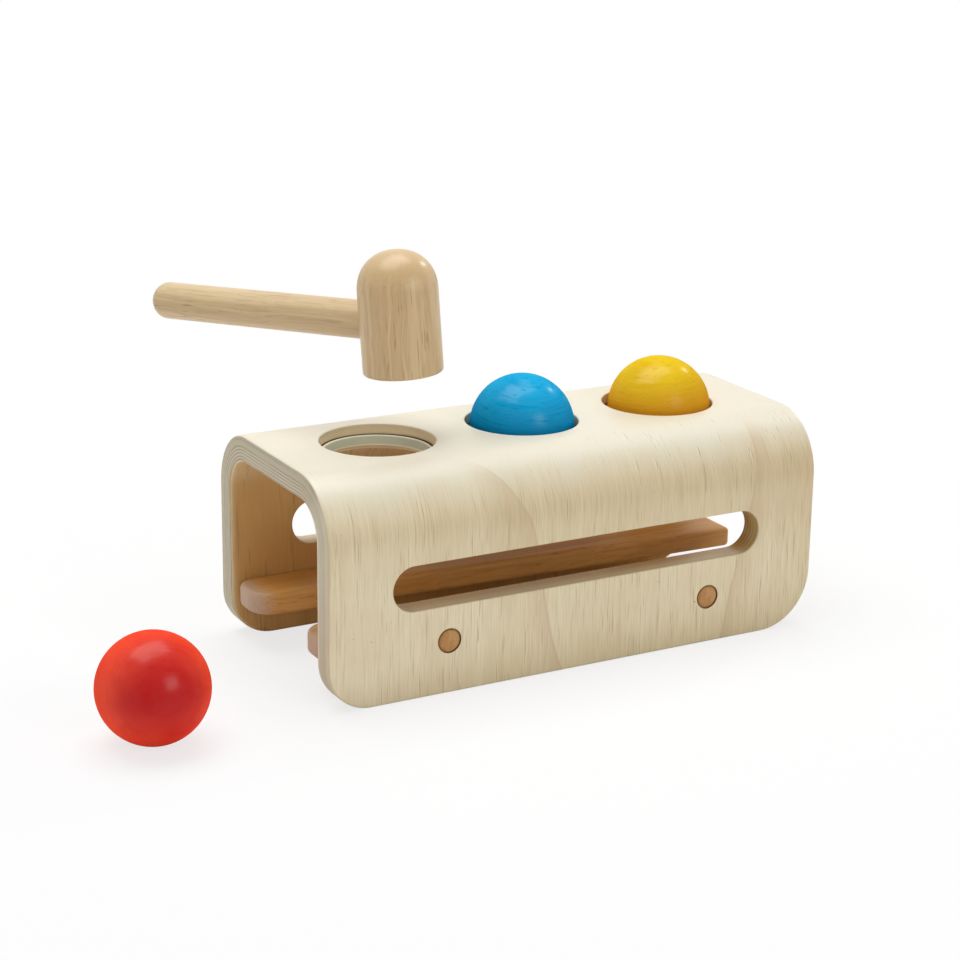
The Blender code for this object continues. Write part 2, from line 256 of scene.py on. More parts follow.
def bent(sheet):
    """Sheet coordinates to places: a flat top, a quarter bend each side and straight panels.

    d is measured under the outer face, square to it.
    """
    x, s, d = np.moveaxis(sheet, -1, 0)
    turn = np.clip((np.abs(s) - FLAT) / BEND, 0, math.pi / 2)
    across = np.minimum(np.abs(s), FLAT) + (BEND - d) * np.sin(turn)
    down = np.maximum(np.abs(s) - PANEL, 0)
    height = HEIGHT - BEND + (BEND - d) * np.cos(turn) - down
    return np.stack([x + CENTRE[0], np.sign(s) * across + CENTRE[1], height], axis=-1)


def at_depth(flat, depth):
    """Points of the flat sheet at this depth, which may be one value for each row."""
    depth = np.broadcast_to(depth, flat.shape[:-1])
    return np.concatenate([flat, depth[..., None]], axis=-1)


# Shares of the way across a flat face: close together where an eased edge begins
ACROSS_CELL = (0, 0.03, 0.2, 0.4, 0.6, 0.8, 0.97, 1)
ACROSS_RAIL = (0, 0.04, 1)


def opening_cell(shell, outline, axis, wall):
    """Both faces of the sheet between an opening and an outline, and the opening's wall.

    The opening is as far from its axis point as the wall's first column says, at the depth in its second.
    """
    way = outline - axis
    way /= np.linalg.norm(way, axis=-1, keepdims=True)
    for radius, depth in (wall[0], wall[-1]):
        face = at_depth(ruled(axis + way * radius, outline, ACROSS_CELL), depth)
        shell.add(bent(face), face, closed=True)
    inside = at_depth(axis + way * wall[:, 0, None, None], wall[:, 1, None])
    shell.add(bent(inside), inside, closed=True)


def bent_sheet(material):
    """The bench: cells round its holes, slots and peg holes, plain bends, and an eased rim all round."""
    shell = Patchwork()
    end = LENGTH / 2 - EASE
    middle = HOLE_SPACING / 2
    half = spaced(0, middle)
    outer = spaced(middle, end)
    right = np.concatenate([half, outer[1:]])
    along = np.concatenate([-right[:0:-1], right])
    across_top = spaced(-FLAT, FLAT)
    edge = eased_wall(EASE, PLY)

    roof, sill = HEIGHT - RING_HIGH - GAP, HEIGHT - RING_LOW + GAP
    groove = [(0, roof), (GROOVE_DEPTH, roof), (GROOVE_DEPTH, sill), (0, sill)]
    opening = eased_wall(OPENING_EASE, PLY)
    hole_wall = np.concatenate([opening[: FILLET_STEPS + 1], groove, opening[FILLET_STEPS + 1 :]])
    hole_wall[:, 0] += HOLE_RADIUS
    cells = {-HOLE_SPACING: -outer[::-1], 0: np.concatenate([-half[:0:-1], half]), HOLE_SPACING: outer}
    for hole, xs in cells.items():
        outline = loop(
            pairs(xs, -FLAT),
            pairs(xs[-1], across_top),
            pairs(xs[::-1], FLAT),
            pairs(xs[0], across_top[::-1]),
        )
        opening_cell(shell, outline, np.array((hole, 0)), hole_wall)

    slot_radius = (SLOT_HIGH - SLOT_LOW) / 2
    slot_wall = opening + (slot_radius, 0)
    peg_seat = PEG_HEAD_DEPTH + GAP
    shank_bore = PEG_SHANK_RADIUS + GAP
    bored = [(PEG_BORE_RADIUS, peg_seat), (shank_bore, peg_seat), (shank_bore, PLY)]
    peg_wall = np.concatenate([quarter() * PEG_EASE / 2 + (PEG_BORE_RADIUS, 0), bored])
    upper = spaced(PANEL, SEAM)
    bend = np.linspace(FLAT, PANEL, BEND_STEPS + 1)
    rim = []
    for side in (-1, 1):
        for depth in (0, PLY):
            face = at_depth(pairs(along, side * bend[:, None]), depth)
            shell.add(bent(face), face)
        outline = loop(
            pairs(along, side * PANEL),
            pairs(end, side * upper),
            pairs(along[::-1], side * SEAM),
            pairs(-end, side * upper[::-1]),
        )
        slot_level = PANEL + HEIGHT - BEND - (SLOT_HIGH + SLOT_LOW) / 2
        slot_reach = SLOT_END - slot_radius
        axis = pairs(np.clip(outline[:, 0], -slot_reach, slot_reach), side * slot_level)
        opening_cell(shell, outline, axis, slot_wall)
        for hand, radius in ((-1, FOOT_LEFT), (1, FOOT_RIGHTS[side])):
            turn = np.linspace(0, math.pi / 2, FOOT_STEPS + 1)
            curve = pairs(hand * np.cos(turn), side * np.sin(turn))
            corner = np.array((hand * (LENGTH / 2 - radius), side * (FOOT - radius)))
            drop = spaced(SEAM, FOOT - radius)
            sole = spaced(LENGTH / 2 - radius, 0)
            outline = loop(
                pairs(hand * right, side * SEAM),
                pairs(hand * end, side * drop),
                corner + curve * (radius - EASE),
                pairs(hand * sole, side * (FOOT - EASE)),
                pairs(0, side * spaced(FOOT - EASE, SEAM)),
            )
            peg = np.array((hand * PEG_X, side * (PANEL + HEIGHT - BEND - PEG_LEVELS[hand])))
            opening_cell(shell, outline, peg, peg_wall)
            edges = np.concatenate(
                [
                    pairs(hand * LENGTH / 2, side * np.concatenate([bend, upper[1:], drop[1:]])),
                    (corner + curve * radius)[1:],
                    pairs(hand * sole[1:], side * FOOT),
                ]
            )
            inwards = np.concatenate(
                [
                    np.tile((-hand, 0), (len(bend) + len(upper) + len(drop) - 2, 1)),
                    -curve[1:],
                    np.tile((0, -side), (len(sole) - 1, 1)),
                ]
            )
            rim.append(np.stack([edges, inwards], axis=1))
    for hand in (-1, 1):
        edges = pairs(hand * LENGTH / 2, across_top)
        rim.append(np.stack([edges, np.tile((-hand, 0), (len(edges), 1))], axis=1))
    for run in rim:
        strip = at_depth(run[:, 0] + run[:, 1] * edge[:, 0, None, None], edge[:, 1, None])
        shell.add(bent(strip), strip)
    return shell.piece("bent_sheet", material)


def corner_round(before, corner, after, radius, steps):
    """Arc of this radius in a corner, as rows of (point, way in): from one side to the next."""
    first = (before - corner) / np.linalg.norm(before - corner)
    second = (after - corner) / np.linalg.norm(after - corner)
    half = math.acos(np.clip(first @ second, -1, 1)) / 2
    inwards = (first + second) / np.linalg.norm(first + second)
    centre = corner + inwards * radius / math.sin(half)
    start = corner + first * radius / math.tan(half) - centre
    finish = corner + second * radius / math.tan(half) - centre
    sweep = math.atan2(start[0] * finish[1] - start[1] * finish[0], start @ finish)
    angle = math.atan2(start[1], start[0]) + np.linspace(0, sweep, steps + 1)
    out = np.stack([np.cos(angle), np.sin(angle)], axis=-1)
    return np.stack([centre + radius * out, -out], axis=1)


def rail(name, side, material):
    """A ledge: its plan outline with rounded corners, an eased wall round it, and flat faces.

    Each flat face is ruled from the outline to a line along its middle.
    """
    left = RAIL_LEFTS[side]
    plan = np.array(
        [
            (left, side * (INNER_FACE - GAP)),
            (left, side * RAIL_GAP_LEFT),
            (RAIL_RIGHT, side * RAIL_GAPS_RIGHT[side]),
            (RAIL_RIGHT, side * (INNER_FACE - GAP)),
        ]
    )
    radii = (RAIL_CORNER, RAIL_NOSE, RAIL_EASE, RAIL_EASE)
    corners = [
        corner_round(plan[k - 1], plan[k], plan[(k + 1) % 4], radii[k], RAIL_CORNER_STEPS)
        for k in range(4)
    ]
    runs = []
    for k in range(4):
        after = corners[(k + 1) % 4][0]
        share = np.linspace(0, 1, RAIL_RUN_STEPS + 1)[1:-1, None, None]
        runs += [corners[k], corners[k][-1] * (1 - share) + after * share]
    edges, inwards = np.moveaxis(np.concatenate(runs), 1, 0)
    wall = eased_wall(RAIL_EASE, RAIL_HIGH - RAIL_LOW)

    def placed(flat, depth):
        """Plan points this deep, less so to the right, and the same with the length last for the grain."""
        along = (flat[..., 0] - left) / (RAIL_RIGHT - left)
        height = RAIL_HIGH - depth * (1 - RAIL_THINNING[side] * along**RAIL_THINNING_POWER)
        here = np.stack([flat[..., 0] + CENTRE[0], flat[..., 1] + CENTRE[1], height], axis=-1)
        return here, np.stack([flat[..., 1], height, flat[..., 0]], axis=-1)

    body = Patchwork()
    body.add(*placed(edges + inwards * wall[:, 0, None, None], wall[:, 1, None]), closed=True)
    reach = np.clip(edges[:, 0], left + RAIL_SPINE_LEFT, RAIL_RIGHT - RAIL_SPINE_RIGHT)
    inner = np.interp(reach, (left, RAIL_RIGHT), (RAIL_GAP_LEFT, RAIL_GAPS_RIGHT[side]))
    spine = pairs(reach, side * (INNER_FACE + inner) / 2)
    for depth in (0, RAIL_HIGH - RAIL_LOW):
        face = ruled(edges + inwards * RAIL_EASE, spine, ACROSS_RAIL)
        body.add(*placed(face, depth), closed=True)
    return body.piece(name, material)


def turned(profile, frame_matrix, steps=TURN_STEPS):
    """Rows (radius, height) spun about a frame's Z axis: places, and marks in that frame."""
    angle = np.linspace(0, 2 * math.pi, steps, endpoint=False)
    radius, height = (column[:, None] for column in np.asarray(profile, float).T)
    local = (radius * np.cos(angle), radius * np.sin(angle), height)
    local = np.stack(np.broadcast_arrays(*local), axis=-1)
    return moved(local, frame_matrix), local


def moved(local, frame_matrix):
    """Points of a frame as places."""
    frame_matrix = np.asarray(frame_matrix)
    return local @ frame_matrix[:3, :3].T + frame_matrix[:3, 3]


def rounded_profile(corners):
    """Rows (radius, height) through (radius, height, rounding) corners of a closed section."""
    points = np.array([corner[:2] for corner in corners])
    after = np.roll(points, -1, axis=0)
    rounds = [
        corner_round(points[k - 1], points[k], after[k], rounding, FILLET_STEPS)[:, 0]
        for k, (_, _, rounding) in enumerate(corners)
    ]
    return np.concatenate(rounds)


def peg(name, hand, side, material):
    """A turned peg: a low dome with an eased rim, a shallow groove round it, the head and the shank."""
    angle = np.linspace(0, math.pi / 2, PEG_STEPS // 4)
    dome = np.stack([np.sin(angle) * (PEG_HEAD_RADIUS - PEG_EASE), PEG_DOME * np.cos(angle)], axis=-1)
    shoulder = (PEG_HEAD_RADIUS, 0) - quarter()[::-1] * PEG_EASE
    tail = [
        (PEG_HEAD_RADIUS, -PEG_COLLAR_DEPTH),
        (PEG_COLLAR_RADIUS, -PEG_COLLAR_DEPTH),
        (PEG_COLLAR_RADIUS, -PEG_HEAD_DEPTH),
        (PEG_SHANK_RADIUS, -PEG_HEAD_DEPTH),
        (PEG_SHANK_RADIUS, -PEG_LENGTH),
        (0, -PEG_LENGTH),
    ]
    profile = np.concatenate([dome, shoulder[1:], tail])
    turn = Matrix.Rotation(-side * math.pi / 2, 4, "X")
    place = (CENTRE[0] + hand * PEG_X, CENTRE[1] + side * WIDTH / 2, PEG_LEVELS[hand])
    body = Patchwork()
    body.add(*turned(profile, Matrix.Translation(place) @ turn, PEG_STEPS), closed=True)
    return body.piece(name, material)


def grip_ring(name, x, squeeze, sag, material):
    """An elastic ring: a closed section with a taller lip and soft corners, spun round the hole.

    The lip's own circle may lie a little to one side, and its top a little lower, where a ball presses it.
    """
    outer = HOLE_RADIUS + GROOVE_DEPTH - GAP
    level, neck = RING_LEVEL, RING_NECK
    foot = RING_LOW - RING_LIP_DROP - level
    seat = RING_LOW - level
    shoulder = RING_HIGH - RING_SHOULDER_DROP - level
    brim = RING_HIGH + RING_LIP_RISE - sag - level
    # Radius, height and rounding of each corner: the band in the groove, then the lip
    corners = [
        (outer, shoulder, 0.0003),
        (outer, seat, 0.0003),
        (neck, seat, 0.0002),
        (neck - 0.0004, foot, 0.0004),
        (RING_LIP_FOOT_RADIUS, foot, 0.0005),
        (RING_LIP_TOP_RADIUS, brim, 0.0005),
        (neck - 0.0002, brim, 0.0004),
        (neck, shoulder, 0.0002),
    ]
    section = rounded_profile(corners)
    section = np.concatenate([section, section[:1]])
    place = Matrix.Translation((CENTRE[0] + x, CENTRE[1], level))
    points, marks = turned(section, place, 2 * TURN_STEPS)
    points[..., 0] += squeeze * np.clip((outer - section[:, :1]) / (outer - neck), 0, 1)
    body = Patchwork()
    body.add(points, marks, closed=True)
    return body.piece(name, material)


def ball(name, node, shift, axis_turn, material):
    """A turned ball: half a circle spun about its axis, with the faint ripple of turning and sanding."""
    low, high = (np.array(corner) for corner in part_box(node))
    angle = np.linspace(0, math.pi, TURN_STEPS + 1)
    radius = BALL_RADIUS - BALL_RIPPLE * (1 - np.cos(BALL_RIPPLES * angle))
    profile = np.stack([radius * np.sin(angle), radius * np.cos(angle)], axis=-1)
    profile[[0, -1], 0] = 0
    body = Patchwork()
    place = Matrix.Translation((low + high) / 2 + (shift, 0, 0)) @ axis_turn
    body.add(*turned(profile, place, BALL_STEPS), closed=True)
    return body.piece(name, material)


def hammer_head(name, place, material):
    """A mallet head: a flat face, a straight body with a socket for the handle, and a squarish dome.

    The body round the socket is worked out in the plane across the handle and laid on to the round.
    """
    around = np.linspace(0, 2 * math.pi, TURN_STEPS, endpoint=False)
    low, high = HEAD_EASE + HEAD_STEP, HEAD_HEIGHT - HEAD_RADIUS
    rim = (HEAD_RADIUS, 0) + quarter(HEAD_EASE_STEPS) * (-HEAD_EASE, HEAD_EASE)
    below = np.concatenate([[(0, 0), (HEAD_RADIUS / 2, 0)], rim, [(HEAD_RADIUS, low)]])
    angle = np.linspace(math.pi / 2, 0, DOME_STEPS + 1)
    power = 2 / DOME_SQUARENESS
    dome = np.abs(np.stack([np.sin(angle), np.cos(angle)], axis=-1)) ** power * HEAD_RADIUS + (0, high)
    dome[0] = (HEAD_RADIUS, high)
    body = Patchwork()
    body.add(*turned(below, place), closed=True)
    body.add(*turned(dome, place), closed=True)

    socket_steps = round(SOCKET_REACH / (2 * math.pi) * TURN_STEPS)
    facing = TURN_STEPS // 2
    rest = np.roll(around, -facing - socket_steps)[: TURN_STEPS - 2 * socket_steps + 1]
    levels = spaced(low, high, HEAD_STEP)
    wall = (HEAD_RADIUS * np.cos(rest), HEAD_RADIUS * np.sin(rest), levels[:, None])
    wall = np.stack(np.broadcast_arrays(*wall), axis=-1)
    body.add(moved(wall, place), wall)

    sideways = -HEAD_RADIUS * np.sin(around[: 2 * socket_steps + 1] - SOCKET_REACH)
    outline = loop(
        pairs(sideways, low),
        pairs(sideways[-1], levels),
        pairs(sideways[::-1], high),
        pairs(sideways[0], levels[::-1]),
    )
    centre = np.array((0, HANDLE_LEVEL))
    way = outline - centre
    way /= np.linalg.norm(way, axis=-1, keepdims=True)
    socket = HANDLE_RADIUS + GAP
    bottom = 2 * HEAD_RADIUS - SOCKET_WALL
    mouth = quarter() * SOCKET_EASE + (socket, 0)
    mouth = np.concatenate([mouth, [(socket, bottom), (0, bottom)]])
    face = at_depth(ruled(centre + way * mouth[0, 0], outline, ACROSS_CELL), 0)
    inside = at_depth(centre + way * mouth[:, 0, None, None], mouth[:, 1, None])
    for patch in (face, inside):
        y, z, d = np.moveaxis(patch, -1, 0)
        local = np.stack([d - np.sqrt(HEAD_RADIUS**2 - y**2), y, z], axis=-1)
        body.add(moved(local, place), local, closed=True)
    return body.piece(name, material)


def hammer_handle(name, grip, material):
    """A turned handle: straight, with a well rounded free end and an eased end in the socket."""
    length = GRIP_TO_HEAD + HEAD_RADIUS - SOCKET_WALL - GAP
    end = HANDLE_RADIUS - HANDLE_END_FLAT
    free_end = (HANDLE_RADIUS, -HANDLE_RADIUS) + quarter(HANDLE_END_STEPS) * (-end, end)
    straight = pairs(HANDLE_RADIUS, spaced(0, length - HANDLE_TAIL_EASE, HANDLE_STEP)[1:])
    glued = [(HANDLE_RADIUS - HANDLE_TAIL_EASE, length), (0, length)]
    profile = np.concatenate([[(0, -HANDLE_RADIUS)], free_end, straight, glued])
    turn = Matrix.Rotation(math.pi / 2, 4, "Y")
    body = Patchwork()
    body.add(*turned(profile, grip @ turn, HANDLE_STEPS), closed=True)
    return body.piece(name, material)


class Socket:
    """A shader socket that takes Python arithmetic. Each operation adds a Math node."""

    def __init__(self, finish, link):
        self.finish = finish
        self.link = link

    def __add__(self, other):
        return self.finish.math("ADD", self, other)

    def __radd__(self, other):
        return self.finish.math("ADD", other, self)

    def __sub__(self, other):
        return self.finish.math("SUBTRACT", self, other)

    def __rsub__(self, other):
        return self.finish.math("SUBTRACT", other, self)

    def __mul__(self, other):
        return self.finish.math("MULTIPLY", self, other)

    def __rmul__(self, other):
        return self.finish.math("MULTIPLY", other, self)

    def __truediv__(self, other):
        return self.finish.math("DIVIDE", self, other)

    def __rtruediv__(self, other):
        return self.finish.math("DIVIDE", other, self)

    def __lt__(self, other):
        return self.finish.math("LESS_THAN", self, other)

    def __abs__(self):
        return self.finish.math("ABSOLUTE", self)


class Finish:
    """A material under construction, with its Principled shader."""

    def __init__(self, name, **constants):
        self.material = bpy.data.materials.new(name)
        self.material.use_nodes = True
        self.tree = self.material.node_tree
        self.shader = self.tree.nodes["Principled BSDF"]
        for socket, value in constants.items():
            self.shader.inputs[socket.replace("_", " ")].default_value = value

    def node(self, kind, settings=None, inputs=None, output=0):
        """Add a node: set its settings first, then give its sockets values or links."""
        node = self.tree.nodes.new(kind)
        for name, value in (settings or {}).items():
            if name == "stops":
                ramp = node.color_ramp
                while len(ramp.elements) < len(value):
                    ramp.elements.new(0.5)
                for element, (position, colour) in zip(ramp.elements, value):
                    element.position = position
                    element.color = colour
            else:
                setattr(node, name, value)
        for key, value in (inputs or {}).items():
            if isinstance(value, Socket):
                self.tree.links.new(value.link, node.inputs[key])
            else:
                node.inputs[key].default_value = value
        return Socket(self, node.outputs[output])

    def feed(self, **sockets):
        """Link sockets of the Principled shader."""
        for name, value in sockets.items():
            self.tree.links.new(value.link, self.shader.inputs[name.replace("_", " ")])

    def cut_from(self):
        """The three coordinates of the place in the material."""
        mark = self.node("ShaderNodeAttribute", {"attribute_name": "cut_from"}, output="Vector")
        return [self.node("ShaderNodeSeparateXYZ", None, {0: mark}, axis) for axis in range(3)]

    def math(self, operation, *values):
        """One operation on these values."""
        return self.node("ShaderNodeMath", {"operation": operation}, dict(enumerate(values)))

    def noise(self, x, y, z, detail=2.0, roughness=0.5, distortion=0.0, scale=1.0):
        """Noise at these coordinates, round about a half."""
        inputs = {
            "Vector": self.node("ShaderNodeCombineXYZ", None, {0: x, 1: y, 2: z}),
            "Scale": scale,
            "Detail": detail,
            "Roughness": roughness,
            "Distortion": distortion,
        }
        return self.node("ShaderNodeTexNoise", None, inputs)

    def steps(self, value, low, high):
        """Smooth step of a value from 0 at low to 1 at high."""
        inputs = {0: value, 1: low, 2: high, 3: 0.0, 4: 1.0}
        return self.node("ShaderNodeMapRange", {"interpolation_type": "SMOOTHSTEP"}, inputs)

    def between(self, value, rise, fall):
        """Smooth step up over one range of a value and down over another."""
        return self.steps(value, *rise) * self.steps(value, *fall)

    def mix(self, share, first, second):
        """Two colours mixed by a share."""
        return self.node("ShaderNodeMix", {"data_type": "RGBA"}, {0: share, 6: first, 7: second}, 2)

    def bump(self, height, strength, distance):
        """The surface's normal, tilted by the slope of a height."""
        inputs = {"Height": height, "Strength": strength, "Distance": distance}
        return self.node("ShaderNodeBump", None, inputs)


def screen(red, green, blue):
    """A 0 to 255 screen colour as the linear one that a shader takes."""
    value = np.array((red, green, blue)) / 255
    linear = np.where(value <= 0.04045, value / 12.92, ((value + 0.055) / 1.055) ** 2.4)
    return (*linear.tolist(), 1.0)


# Colours of the outer veneer, of the marks in it, and of small cracks and lifted fibres over the bends
VENEER_DARK = screen(206, 182, 136)
VENEER_PALE = screen(244, 232, 198)
VENEER_PAINTED_TOP_LIGHT = screen(230, 229, 217)
VENEER_PINK = screen(212, 180, 146)
VENEER_DASH = screen(166, 136, 84)
VENEER_SPECK = screen(120, 92, 58)
VENEER_FIGURE = screen(202, 172, 132)
VENEER_CHECK = screen(124, 108, 78)
VENEER_LIFTED = screen(255, 248, 228)

# Colours of the veneer inside
INSIDE_DARK = screen(198, 145, 65)
INSIDE_PALE = screen(230, 186, 103)
INSIDE_BEND_LIGHT = screen(250, 228, 182)
INSIDE_LEFT_LIGHT = screen(220, 188, 134)
INSIDE_DASH = screen(132, 88, 36)
INSIDE_RIM_HIGHLIGHT = screen(244, 230, 190)

# Colours of the cut layers: everywhere, in openings, at a slot's round ends, and on the front panel
CUT_PATCH = screen(196, 181, 146)
CUT_GRAIN = screen(150, 130, 96)
HOLE_WALL = screen(255, 236, 190)
SLOT_WALL_OUTER = screen(255, 232, 188)
SLOT_WALL_INNER = screen(222, 172, 106)
SLOT_ROUND = screen(183, 146, 44)
SLOT_SEAM = screen(84, 56, 18)
SLOT_BAND = screen(210, 172, 104)
# Painted shade in the gap round the pegs
PEG_BORE_SHADE = screen(104, 62, 14)
FRONT_CUT = screen(244, 236, 204)
FRONT_CORE = screen(176, 174, 142)
FRONT_LIP = screen(255, 250, 226)

# Layers of the ply, from the outer face at 0 to the inner one at 1
PLY_LAYERS = [
    (0.00, (182, 168, 134)),
    (0.03, (150, 137, 104)),
    (0.07, (186, 176, 145)),
    (0.13, (172, 161, 130)),
    (0.20, (189, 180, 149)),
    (0.31, (194, 184, 153)),
    (0.39, (184, 173, 141)),
    (0.42, (134, 119, 87)),
    (0.45, (206, 197, 168)),
    (0.51, (194, 183, 152)),
    (0.54, (136, 121, 88)),
    (0.58, (210, 201, 172)),
    (0.64, (190, 178, 146)),
    (0.67, (138, 122, 88)),
    (0.70, (214, 205, 176)),
    (0.76, (196, 184, 152)),
    (0.80, (142, 126, 92)),
    (0.83, (216, 206, 177)),
    (0.89, (172, 158, 124)),
    (0.92, (134, 116, 80)),
    (0.95, (216, 202, 162)),
    (1.00, (214, 196, 152)),
]
# Half the way between seams on a slot's wall, as a share of the thickness
PLY_BAND = 0.09

# Where a tone of the sheet comes in, or comes in and goes: round the section, from the top's middle
ON_PANEL = (0.046, 0.071)
BELOW_TOP = (0.038, 0.062)
UNDER_BEND = ((0.060, 0.070), (0.088, 0.074))
MID_PANEL = ((0.086, 0.122), (0.158, 0.134))
OVER_BEND = ((0.033, 0.043), (0.074, 0.060))
IN_BEND = ((0.015, 0.040), (0.085, 0.060))
SLOTTED = (0.06, 0.08)
FRONT_PANEL = (-0.045, -0.065)
# The same along the bench, from its middle, and across the layers
CRACKED = (-0.03, 0.06)
LIT_FROM_LEFT = (0.0, -0.12)
CORE = ((0.18, 0.32), (0.84, 0.74))
LIP = (0.84, 0.92)

# Growth lines across the panels: cubic in the way down from a level, then the shaded flank and its width
FIGURE_LEVEL = 0.1
FIGURES = (
    ((61.7, -2.65, 0.184, -0.0243), -1, 0.016),
    ((8.3, -0.68, -0.216, 0.0943), 1, 0.012),
)


class VeneerGrain:
    """What the grain draws on both faces: bands, bundles of lines, streaks, fibres, clouds and dashes.

    Each is a noise that is drawn out round the section and sways a little along the bench.
    """

    def __init__(self, finish, x, s):
        self.sway = finish.noise(x * 40, s * 25, 0.7) - 0.5
        self.x = x + self.sway * 0.0022
        self.band = finish.noise(self.x * 75, s * 5, 3.7, 3.0, 0.5, 0.3) - 0.5
        self.bundle = finish.steps(finish.noise(self.x * 170, s * 13, 8.8), 0.38, 0.64)
        streaks = finish.noise(self.x * 900, s * 24, 1.3, 2.0, 0.6) - 0.5
        self.streak = streaks * (self.bundle * 1.5 + 0.2)
        self.fibre = finish.noise(self.x * 2100, s * 45, 9.1, 2.0, 0.6) - 0.5
        self.cloud = finish.noise(x * 34, s * 20, 5.2, 3.0) - 0.5
        dashes = finish.noise(self.x * 2000, s * 55, 6.6, 1.0)
        self.dash = finish.steps(dashes, 0.58, 0.74) * (self.bundle * 0.9 + 0.25)


def outer_veneer(finish, x, s, grain):
    """The outer face: painted light on top, with specks, small cracks over the bends and growth lines
    below.
    """
    side = abs(s)
    on_panel = finish.steps(side + grain.cloud * 0.022, *ON_PANEL)
    drawn = on_panel * 0.7 + 0.3
    tone = (grain.band * 0.45 + grain.streak * 0.35 + grain.fibre * 0.85 + grain.cloud * 0.3) * drawn
    tone = tone - finish.between(side, *UNDER_BEND) * 0.16 + finish.between(side, *MID_PANEL) * 0.22
    # Painted light: the veneer is painted paler to the left and darker to the right, as light from the
    # left.
    colour = finish.mix(tone - x * 0.8 + 0.48, VENEER_DARK, VENEER_PALE)
    colour = finish.mix(grain.dash * drawn * 0.5, colour, VENEER_DASH)
    colour = finish.mix(finish.steps(grain.cloud, 0.02, 0.2) * on_panel * 0.25, colour, VENEER_PINK)
    # Painted light: the top and the bends are painted paler where the light from above falls, fading out
    # down the panel.
    colour = finish.mix(0.6 - on_panel * 0.6, colour, VENEER_PAINTED_TOP_LIGHT)
    specks = finish.noise(x * 420, s * 300, 2.2, 1.0)
    colour = finish.mix(finish.steps(specks, 0.79, 0.84) * 0.55, colour, VENEER_SPECK)

    over_bend = finish.between(side, *OVER_BEND) * (finish.steps(x, *CRACKED) * 0.85 + 0.15)
    for shift, tint in ((0.0, VENEER_CHECK), (0.8, VENEER_LIFTED)):
        checks = finish.noise(grain.x * 1300 + shift, s * 110, 4.4, 1.0)
        check = finish.steps(checks, 0.64, 0.76) * (grain.bundle * 0.6 + 0.4)
        colour = finish.mix(check * over_bend * 0.55, colour, tint)

    along = x * finish.math("SIGN", s) * -1 + grain.sway * 0.004
    down = side - FIGURE_LEVEL
    below_top = finish.steps(side, *BELOW_TOP)
    for (cubic, square, slope, start), hand, width in FIGURES:
        off = (along - (((cubic * down + square) * down + slope) * down + start)) * hand
        flank = finish.steps(off, width, 0.0) * finish.steps(off, -0.0012, 0.0003)
        line = finish.steps(abs(off), 0.0011, 0.0002)
        colour = finish.mix((flank * 0.36 + line * 0.18) * below_top, colour, VENEER_FIGURE)
    return colour


def inner_veneer(finish, x, s, grain):
    """The inner face: browner, with dark dashes, painted light in the bends and to the left, and a painted
    highlight along the ends.
    """
    tone = grain.band * 0.9 + grain.streak * 0.9 + grain.fibre * 0.6 + 0.5
    colour = finish.mix(tone, INSIDE_DARK, INSIDE_PALE)
    # Painted light: the inner face is painted paler in the bends, where the light from above catches it.
    colour = finish.mix(finish.between(abs(s), *IN_BEND) * 0.85, colour, INSIDE_BEND_LIGHT)
    # Painted light: the inner face is painted paler towards the left, where light comes in at the open
    # end.
    colour = finish.mix(finish.steps(x, *LIT_FROM_LEFT) * 0.44, colour, INSIDE_LEFT_LIGHT)
    colour = finish.mix(grain.dash * 0.6 + (grain.streak - 0.06) * 1.2, colour, INSIDE_DASH)
    # Painted highlight: a pale band on the inner face along the ends, where the eased rim catches the
    # light.
    near_end = finish.steps(abs(x), LENGTH / 2 - 0.0042, LENGTH / 2 - 0.0008)
    return finish.mix(near_end * 0.3, colour, INSIDE_RIM_HIGHLIGHT)


def opening_layers(finish, x, side, d, layer, plain):
    """The layers in holes and slots: yellower, with seams that show at a slot's round ends."""
    slotted = finish.steps(side, *SLOTTED)
    slot_wall = finish.mix(finish.steps(d, 0.003, 0.010), SLOT_WALL_OUTER, SLOT_WALL_INNER)
    colour = finish.mix(0.55, plain, finish.mix(slotted, HOLE_WALL, slot_wall))
    slot_round = finish.steps(abs(x), SLOT_END - 0.014, SLOT_END - 0.003) * slotted
    colour = finish.mix(slot_round * 0.5, colour, SLOT_ROUND)
    banded = finish.math("PINGPONG", layer, PLY_BAND)
    seam = finish.steps(banded, 0.03, 0.0) * slotted
    colour = finish.mix(seam * (slot_round * 0.5 + 0.12), colour, SLOT_SEAM)
    pale_band = finish.steps(banded, 0.05, PLY_BAND) * slot_round
    return finish.mix(pale_band * 0.45, colour, SLOT_BAND)


def end_layers(finish, s, layer, plain):
    """The layers on ends and feet: on the front panel they are paler, with a grey core and a white lip."""
    front = finish.steps(s, *FRONT_PANEL)
    colour = finish.mix(front * 0.45, plain, FRONT_CUT)
    colour = finish.mix(finish.between(layer, *CORE) * front * 0.45, colour, FRONT_CORE)
    return finish.mix(finish.steps(layer, *LIP) * front * 0.6, colour, FRONT_LIP)


